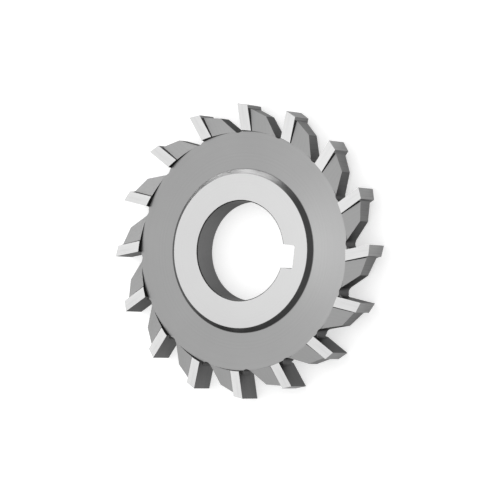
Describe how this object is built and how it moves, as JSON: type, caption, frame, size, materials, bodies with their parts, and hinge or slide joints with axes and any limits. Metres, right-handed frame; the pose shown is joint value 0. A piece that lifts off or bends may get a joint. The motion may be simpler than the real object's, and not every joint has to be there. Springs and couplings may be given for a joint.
{
  "type": "side milling cutter",
  "caption": "Round side and face milling cutter with straight teeth, a recessed web, and a raised hub with a plain bore and a keyway.",
  "frame": {"origin": "on the cutter's axis, in the plane of the lower hub face and of the lower side edges of the teeth", "axes": "+Z along the bore axis, through the thickness; +X from the axis through the middle of the keyway; the cutting edges lead anticlockwise seen from +Z"},
  "size_m": [0.0792, 0.0792, 0.008],
  "materials": {
    "tool_steel": "bare high-speed steel: hub faces, tooth sides and lands ground bright, web, tooth gaps and flanks left satin grey"
  },
  "bodies": {
    "root": {"milling_cutter": "tool_steel"}
  },
  "joints": []
}
